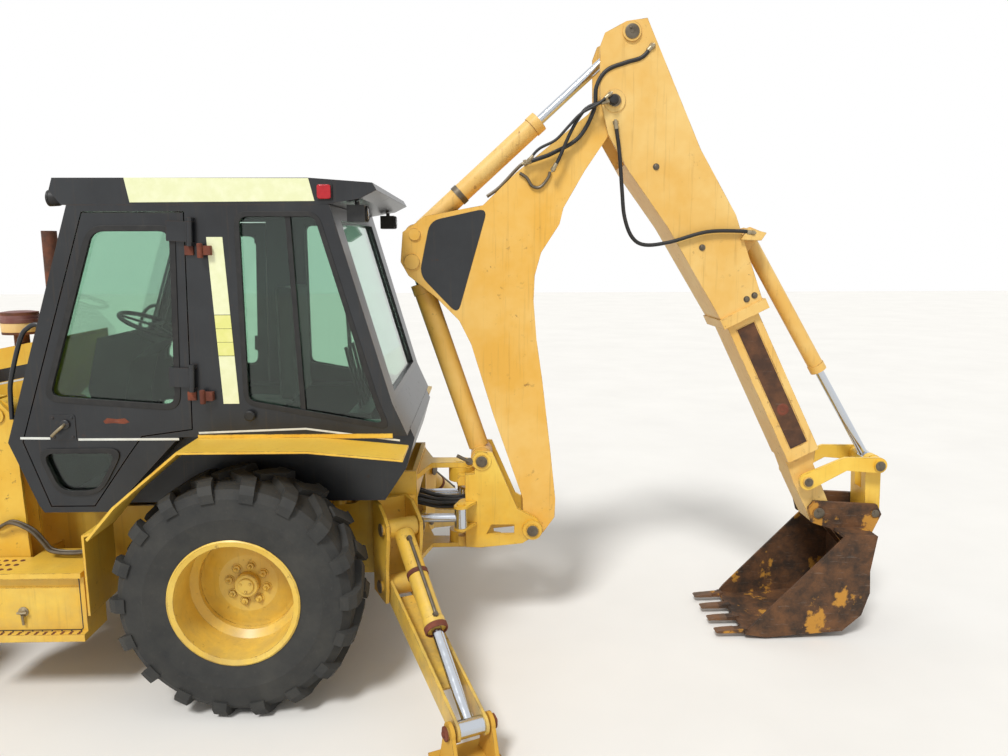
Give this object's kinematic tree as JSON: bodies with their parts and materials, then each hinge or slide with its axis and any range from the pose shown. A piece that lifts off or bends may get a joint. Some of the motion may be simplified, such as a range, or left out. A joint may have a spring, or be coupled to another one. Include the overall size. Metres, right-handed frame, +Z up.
{
  "type": "backhoe loader",
  "caption": "Backhoe loader with a closed cab, front loader bucket, rear digging arm with an extending stick, and two stabilizer legs.",
  "frame": {"origin": "on the ground under the middle of the machine's length and width, as parked", "axes": "+X forward towards the loader bucket, +Y to the machine's left, +Z up"},
  "size_m": [7.799, 3.3232, 3.6078],
  "materials": {
    "yellow_paint": "satin",
    "faded_paint": "matte",
    "black_paint": "satin",
    "engine_paint": "matte",
    "tyre_rubber": "matte",
    "rod_chrome": "polished",
    "rusty_steel": "rough",
    "tinted_glass": "clear",
    "lamp_glass": "clear",
    "seat_cloth": "matte",
    "control_plastic": "matte"
  },
  "bodies": {
    "chassis": {"main_frame": "yellow_paint", "drivetrain": "engine_paint", "hood": "yellow_paint", "grille": "black_paint", "front_axle": "yellow_paint", "rear_axle": "yellow_paint", "fenders": "yellow_paint", "side_tanks": "yellow_paint", "cab_frame": "black_paint", "cab_roof": "black_paint", "cab_glass": "tinted_glass", "controls": "control_plastic", "operator_seat": "seat_cloth", "stacks": "rusty_steel", "lamps": "lamp_glass"},
    "door_left": {"door_left": "black_paint", "door_glass_left": "tinted_glass"},
    "door_right": {"door_right": "black_paint", "door_glass_right": "tinted_glass"},
    "front_wheel_left": {"front_tyre_left": "tyre_rubber", "front_rim_left": "yellow_paint"},
    "front_wheel_right": {"front_tyre_right": "tyre_rubber", "front_rim_right": "yellow_paint"},
    "rear_wheel_left": {"rear_tyre_left": "tyre_rubber", "rear_rim_left": "yellow_paint"},
    "rear_wheel_right": {"rear_tyre_right": "tyre_rubber", "rear_rim_right": "yellow_paint"},
    "knuckle_left": {"knuckle_left": "yellow_paint"},
    "knuckle_right": {"knuckle_right": "yellow_paint"},
    "loader_arms": {"loader_arms": "yellow_paint"},
    "lift_barrels": {"lift_barrels": "yellow_paint"},
    "lift_rods": {"lift_rods": "rod_chrome"},
    "tilt_levers": {"tilt_levers": "yellow_paint"},
    "tilt_links": {"tilt_links": "yellow_paint"},
    "tilt_barrels": {"tilt_barrels": "yellow_paint"},
    "tilt_rods": {"tilt_rods": "rod_chrome"},
    "loader_bucket": {"loader_bucket": "yellow_paint"},
    "swing_frame": {"swing_frame": "yellow_paint"},
    "swing_rod_left": {"swing_rod_left": "rod_chrome"},
    "swing_rod_right": {"swing_rod_right": "rod_chrome"},
    "boom": {"boom": "faded_paint"},
    "boom_barrel": {"boom_barrel": "yellow_paint"},
    "boom_rod": {"boom_rod": "rod_chrome"},
    "outer_stick": {"outer_stick": "faded_paint"},
    "stick_barrel": {"stick_barrel": "yellow_paint"},
    "stick_rod": {"stick_rod": "rod_chrome"},
    "sliding_stick": {"sliding_stick": "faded_paint"},
    "bucket_barrel": {"bucket_barrel": "yellow_paint"},
    "bucket_rod": {"bucket_rod": "rod_chrome"},
    "bucket_levers": {"bucket_levers": "yellow_paint"},
    "bucket_link": {"bucket_link": "yellow_paint"},
    "hoe_bucket": {"hoe_bucket": "rusty_steel"},
    "leg_left": {"leg_left": "yellow_paint"},
    "leg_right": {"leg_right": "yellow_paint"},
    "leg_barrel_left": {"leg_barrel_left": "yellow_paint"},
    "leg_barrel_right": {"leg_barrel_right": "yellow_paint"},
    "leg_rod_left": {"leg_rod_left": "rod_chrome"},
    "leg_rod_right": {"leg_rod_right": "rod_chrome"},
    "pad_left": {"pad_left": "rusty_steel"},
    "pad_right": {"pad_right": "rusty_steel"}
  },
  "joints": [
    {"name": "steer_left", "type": "hinge", "parent": "chassis", "child": "knuckle_left", "pos_m": [1.8945, 0.65, 0.415], "axis": [0, 0, 1], "range_deg": [-45, 45]},
    {"name": "steer_right", "type": "hinge", "parent": "chassis", "child": "knuckle_right", "pos_m": [1.8945, -0.65, 0.415], "axis": [0, 0, 1], "range_deg": [-45, 45]},
    {"name": "front_wheel_left", "type": "hinge", "parent": "knuckle_left", "child": "front_wheel_left", "pos_m": [1.8945, 0.88, 0.415], "axis": [0, 1, 0], "continuous": true},
    {"name": "rear_wheel_left", "type": "hinge", "parent": "chassis", "child": "rear_wheel_left", "pos_m": [-0.2055, 0.855, 0.6225], "axis": [0, 1, 0], "continuous": true},
    {"name": "door_left", "type": "hinge", "parent": "chassis", "child": "door_left", "pos_m": [0.0405, 0.785, 1.43], "axis": [-0.048, 0, 0.9988], "range_deg": [0, 95]},
    {"name": "front_wheel_right", "type": "hinge", "parent": "knuckle_right", "child": "front_wheel_right", "pos_m": [1.8945, -0.88, 0.415], "axis": [0, 1, 0], "continuous": true},
    {"name": "rear_wheel_right", "type": "hinge", "parent": "chassis", "child": "rear_wheel_right", "pos_m": [-0.2055, -0.855, 0.6225], "axis": [0, 1, 0], "continuous": true},
    {"name": "door_right", "type": "hinge", "parent": "chassis", "child": "door_right", "pos_m": [0.0405, -0.785, 1.43], "axis": [0.048, 0, -0.9988], "range_deg": [0, 95]},
    {"name": "loader_lift", "type": "hinge", "parent": "chassis", "child": "loader_arms", "pos_m": [1.0945, 0, 1.5], "axis": [0, -1, 0], "range_deg": [0, 86]},
    {"name": "lift_barrel", "type": "hinge", "parent": "chassis", "child": "lift_barrels", "pos_m": [1.0945, 0, 0.64], "axis": [0, -1, 0], "range_deg": [-1, 50.3]},
    {"name": "lift_rod", "type": "slide", "parent": "lift_barrels", "child": "lift_rods", "axis": [0.8887, 0, 0.4584], "range_m": [-0.005, 0.835]},
    {"name": "loader_tilt", "type": "hinge", "parent": "loader_arms", "child": "loader_bucket", "pos_m": [2.9445, 0, 0.23], "axis": [0, 1, 0], "range_deg": [-30, 114]},
    {"name": "tilt_lever", "type": "hinge", "parent": "loader_arms", "child": "tilt_levers", "pos_m": [2.5545, 0, 0.811], "axis": [0, 1, 0], "range_deg": [-31, 115]},
    {"name": "tilt_link", "type": "hinge", "parent": "tilt_levers", "child": "tilt_links", "pos_m": [2.63433, 0, 1.1312], "axis": [0, 1, 0], "range_deg": [-115, 31]},
    {"name": "tilt_barrel", "type": "hinge", "parent": "loader_arms", "child": "tilt_barrels", "pos_m": [1.3565, 0, 1.66], "axis": [0, 1, 0], "range_deg": [-3.4, 10.1]},
    {"name": "tilt_rod", "type": "slide", "parent": "tilt_barrels", "child": "tilt_rods", "axis": [0.924, 0, -0.3824], "range_m": [-0.12, 0.443]},
    {"name": "swing", "type": "hinge", "parent": "chassis", "child": "swing_frame", "pos_m": [-1.3055, 0, 0.775], "axis": [0, 0, 1], "range_deg": [-70, 70]},
    {"name": "swing_rod_left", "type": "slide", "parent": "chassis", "child": "swing_rod_left", "axis": [1, 0, 0], "range_m": [-0.199, 0.199]},
    {"name": "swing_rod_right", "type": "slide", "parent": "chassis", "child": "swing_rod_right", "axis": [1, 0, 0], "range_m": [-0.199, 0.199]},
    {"name": "boom", "type": "hinge", "parent": "swing_frame", "child": "boom", "pos_m": [-1.7355, 0, 0.667], "axis": [0, -1, 0], "range_deg": [-3, 105]},
    {"name": "boom_barrel", "type": "hinge", "parent": "swing_frame", "child": "boom_barrel", "pos_m": [-1.4305, 0, 1.099], "axis": [0, -1, 0], "range_deg": [-4.4, 118.9]},
    {"name": "boom_rod", "type": "slide", "parent": "boom_barrel", "child": "boom_rod", "axis": [0.3172, 0, 0.9484], "range_m": [-0.026, 0.753]},
    {"name": "stick", "type": "hinge", "parent": "boom", "child": "outer_stick", "pos_m": [-2.1875, 0, 3.169], "axis": [0, -1, 0], "range_deg": [-92, 25]},
    {"name": "stick_barrel", "type": "hinge", "parent": "boom", "child": "stick_barrel", "pos_m": [-1.0535, 0, 2.436], "axis": [0, -1, 0], "range_deg": [-10.3, 3.5]},
    {"name": "stick_rod", "type": "slide", "parent": "stick_barrel", "child": "stick_rod", "axis": [-0.7441, 0, 0.6681], "range_m": [-0.489, 0.137]},
    {"name": "extension", "type": "slide", "parent": "outer_stick", "child": "sliding_stick", "axis": [-0.4431, 0, -0.8965], "range_m": [-0.9, 0]},
    {"name": "bucket", "type": "hinge", "parent": "sliding_stick", "child": "hoe_bucket", "pos_m": [-3.5035, 0, 0.742], "axis": [0, 1, 0], "range_deg": [-75, 78]},
    {"name": "bucket_lever", "type": "hinge", "parent": "sliding_stick", "child": "bucket_levers", "pos_m": [-3.4105, 0, 0.952], "axis": [0, 1, 0], "range_deg": [-59.5, 61.8]},
    {"name": "bucket_link", "type": "hinge", "parent": "hoe_bucket", "child": "bucket_link", "pos_m": [-3.8535, 0, 0.737], "axis": [0, 1, 0], "range_deg": [-55.6, 53.5]},
    {"name": "bucket_barrel", "type": "hinge", "parent": "sliding_stick", "child": "bucket_barrel", "pos_m": [-3.0175, 0, 2.425], "axis": [0, 1, 0], "range_deg": [-2.5, 2.6]},
    {"name": "bucket_rod", "type": "slide", "parent": "bucket_barrel", "child": "bucket_rod", "axis": [-0.5136, 0, -0.858], "range_m": [-0.383, 0.368]},
    {"name": "leg_left", "type": "hinge", "parent": "chassis", "child": "leg_left", "pos_m": [-0.9705, 0.55, 0.5], "axis": [0.9135, 0.4067, 0], "range_deg": [-12, 70]},
    {"name": "leg_barrel_left", "type": "hinge", "parent": "chassis", "child": "leg_barrel_left", "pos_m": [-0.99084, 0.59568, 0.845], "axis": [0.9135, 0.4067, 0], "range_deg": [-13.4, 73.4]},
    {"name": "leg_rod_left", "type": "slide", "parent": "leg_barrel_left", "child": "leg_rod_left", "axis": [-0.3365, 0.7558, -0.5617], "range_m": [-0.398, 0.072]},
    {"name": "pad_left", "type": "hinge", "parent": "leg_left", "child": "pad_left", "pos_m": [-1.37722, 1.46352, 0.2], "axis": [0.9135, 0.4067, 0], "range_deg": [-35, 35]},
    {"name": "leg_right", "type": "hinge", "parent": "chassis", "child": "leg_right", "pos_m": [-0.9705, -0.55, 0.5], "axis": [-0.9135, 0.4067, 0], "range_deg": [-12, 70]},
    {"name": "leg_barrel_right", "type": "hinge", "parent": "chassis", "child": "leg_barrel_right", "pos_m": [-0.99084, -0.59568, 0.845], "axis": [-0.9135, 0.4067, 0], "range_deg": [-13.4, 73.4]},
    {"name": "leg_rod_right", "type": "slide", "parent": "leg_barrel_right", "child": "leg_rod_right", "axis": [-0.3365, -0.7558, -0.5617], "range_m": [-0.398, 0.072]},
    {"name": "pad_right", "type": "hinge", "parent": "leg_right", "child": "pad_right", "pos_m": [-1.37722, -1.46352, 0.2], "axis": [-0.9135, 0.4067, 0], "range_deg": [-35, 35]}
  ],
  "couplings": [
    {"joint": "steer_right", "follows": "steer_left", "ratio": 1},
    {"joint": "lift_barrel", "follows": "loader_lift", "ratio": 0.5737},
    {"joint": "lift_rod", "follows": "loader_lift", "m_per_rad": 0.5531},
    {"joint": "tilt_lever", "follows": "loader_tilt", "ratio": 1},
    {"joint": "tilt_link", "follows": "loader_tilt", "ratio": -1},
    {"joint": "tilt_barrel", "follows": "loader_tilt", "ratio": 0.0797},
    {"joint": "tilt_rod", "follows": "loader_tilt", "m_per_rad": 0.2202},
    {"joint": "swing_rod_left", "follows": "swing", "m_per_rad": -0.159},
    {"joint": "swing_rod_right", "follows": "swing", "m_per_rad": 0.159},
    {"joint": "boom_barrel", "follows": "boom", "ratio": 1.123},
    {"joint": "boom_rod", "follows": "boom", "m_per_rad": 0.408},
    {"joint": "stick_barrel", "follows": "stick", "ratio": 0.1006},
    {"joint": "stick_rod", "follows": "stick", "m_per_rad": 0.3017},
    {"joint": "bucket_lever", "follows": "bucket", "ratio": 0.78},
    {"joint": "bucket_link", "follows": "bucket", "ratio": -0.7},
    {"joint": "bucket_barrel", "follows": "bucket", "ratio": 0.02},
    {"joint": "bucket_rod", "follows": "bucket", "m_per_rad": -0.2775},
    {"joint": "leg_barrel_left", "follows": "leg_left", "ratio": 1.0344},
    {"joint": "leg_rod_left", "follows": "leg_left", "m_per_rad": -0.3213},
    {"joint": "leg_barrel_right", "follows": "leg_right", "ratio": 1.0344},
    {"joint": "leg_rod_right", "follows": "leg_right", "m_per_rad": -0.3213}
  ]
}
